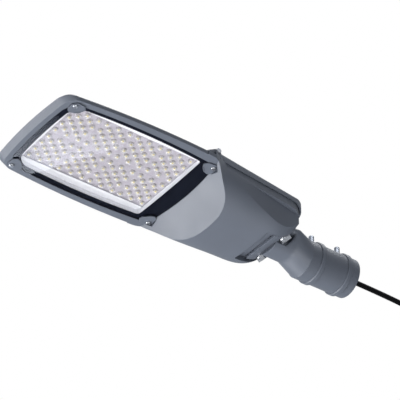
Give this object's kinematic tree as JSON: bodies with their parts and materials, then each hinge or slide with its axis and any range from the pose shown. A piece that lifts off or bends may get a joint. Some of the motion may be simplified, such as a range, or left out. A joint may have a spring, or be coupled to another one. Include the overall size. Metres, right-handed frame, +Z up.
{
  "type": "led street light head",
  "caption": "LED road luminaire head with tilting spigot joint, hinged gear lid, flat glass over a lens field and a short bare-ended supply lead.",
  "frame": {"origin": "centre of the spigot socket's mouth, on the socket axis", "axes": "+X along the socket axis from the mouth to the front tip, +Y to the head's left seen from the pole, +Z up; the light shines down (-Z)"},
  "size_m": [0.9272, 0.2434, 0.2351],
  "materials": {
    "casting": "satin grey powder coat",
    "zinc_steel": "zinc plated",
    "glass_flat": "clear toughened",
    "seal_rubber": "matte",
    "pcb_white": "white solder mask",
    "led_yellow": "phosphor",
    "lens_clear": "clear moulded",
    "sheet_white": "white satin",
    "sheet_zinc": "galvanised",
    "case_black": "moulded",
    "case_white": "moulded",
    "cable_black": "sheath",
    "core_insulation": "insulation",
    "ferrule_metal": "tinned"
  },
  "bodies": {
    "adaptor": {"spigot_adaptor": "casting", "collar_set_screws": "zinc_steel", "cable_gland": "case_black", "gland_cap": "case_black", "lead_in_neck": "cable_black", "supply_lead": "cable_black", "lead_cores": "core_insulation", "core_ferrules": "ferrule_metal"},
    "head": {"main_housing": "casting", "tilt_clamp_bolts": "zinc_steel", "tilt_clamp_washers": "zinc_steel", "lid_seal": "seal_rubber", "hinge_pins": "zinc_steel", "glass": "glass_flat", "glass_gasket": "seal_rubber", "glass_clip_rear_left": "casting", "glass_clip_rear_right": "casting", "glass_clip_front_left": "casting", "glass_clip_front_right": "casting", "clip_screws": "zinc_steel", "led_board": "pcb_white", "led_chips": "led_yellow", "white_frame": "sheet_white", "gear_tray": "sheet_zinc", "tray_screws": "zinc_steel", "led_driver": "case_white", "surge_protector": "case_black", "terminal_block": "case_white", "entry_grommet": "seal_rubber", "inner_lead": "cable_black", "led_lead": "cable_black", "lens_plate_1": "lens_clear", "lens_plate_2": "lens_clear", "lens_plate_3": "lens_clear", "lens_plate_4": "lens_clear", "lens_plate_5": "lens_clear", "lens_plate_6": "lens_clear", "lens_plate_7": "lens_clear", "lens_plate_8": "lens_clear"},
    "lid": {"gear_lid": "casting", "lid_screws": "zinc_steel"}
  },
  "joints": [
    {"name": "tilt", "type": "hinge", "parent": "adaptor", "child": "head", "pos_m": [0.1995, 0, 0.033], "axis": [0, -1, 0], "range_deg": [-15, 5]},
    {"name": "lid_hinge", "type": "hinge", "parent": "head", "child": "lid", "pos_m": [0.368, 0, 0.046], "axis": [0, 1, 0], "range_deg": [0, 70]}
  ]
}
